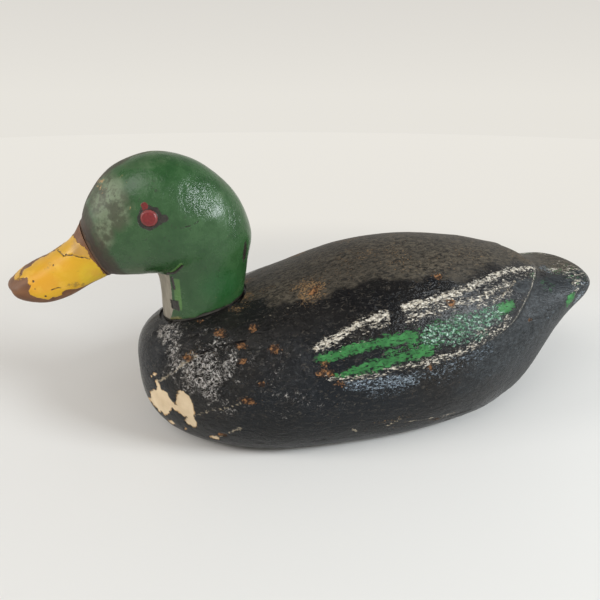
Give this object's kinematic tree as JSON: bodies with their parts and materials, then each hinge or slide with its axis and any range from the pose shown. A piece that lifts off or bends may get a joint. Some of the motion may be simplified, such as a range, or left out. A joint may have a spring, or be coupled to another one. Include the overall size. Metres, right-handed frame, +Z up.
{
  "type": "floating duck decoy",
  "caption": "Hollow carved wooden duck decoy with a turning painted head, tack eyes, a ballasted bottom board and a recessed anchor-line ring.",
  "frame": {"origin": "on the surface the decoy stands on, half way between the bill's tip and the tail's tip, on its centre plane", "axes": "+X towards the bill, +Y towards the duck's left side, +Z up"},
  "size_m": [0.423, 0.1674, 0.191],
  "materials": {
    "body_paint": "black oil paint over cedar, worn and pitted, semi-gloss",
    "board_paint": "black paint over a flat softwood board, rubbed through underneath",
    "seam_compound": "pale brown seam compound, matt",
    "head_paint": "green gloss paint over wood, dulled to grey-brown on the forehead",
    "bill_paint": "yellow paint over red-brown hardwood, chipped at the tip and edges",
    "eye_paint": "glossy red paint on a domed tack",
    "zinc_steel": "dull zinc plate",
    "brass": "tarnished brass",
    "lead": "dull grey sheet lead"
  },
  "bodies": {
    "hull": {"body": "body_paint", "bottom_board": "board_paint", "bottom_seal": "seam_compound", "ballast": "lead", "line_eye": "brass", "ballast_screw_1": "brass", "ballast_screw_2": "brass", "board_screw_1": "brass", "board_screw_2": "brass", "board_screw_3": "brass", "board_screw_4": "brass", "board_screw_5": "brass", "board_screw_6": "brass", "board_screw_7": "brass", "board_screw_8": "brass"},
    "turning_head": {"head": "head_paint", "bill": "bill_paint", "eye_left": "eye_paint", "eye_right": "eye_paint", "head_bolt": "zinc_steel", "head_washer": "zinc_steel", "lock_washer": "zinc_steel", "head_nut": "zinc_steel"},
    "ring": {"line_ring": "brass"}
  },
  "joints": [
    {"name": "head_swivel", "type": "hinge", "parent": "hull", "child": "turning_head", "pos_m": [0.094, 0, 0.0882], "axis": [0.2419, 0, 0.9703], "range_deg": [-90, 90]},
    {"name": "ring_swing", "type": "hinge", "parent": "hull", "child": "ring", "pos_m": [0.1065, 0, 0.017], "axis": [0, 1, 0], "range_deg": [-80, 80]}
  ]
}
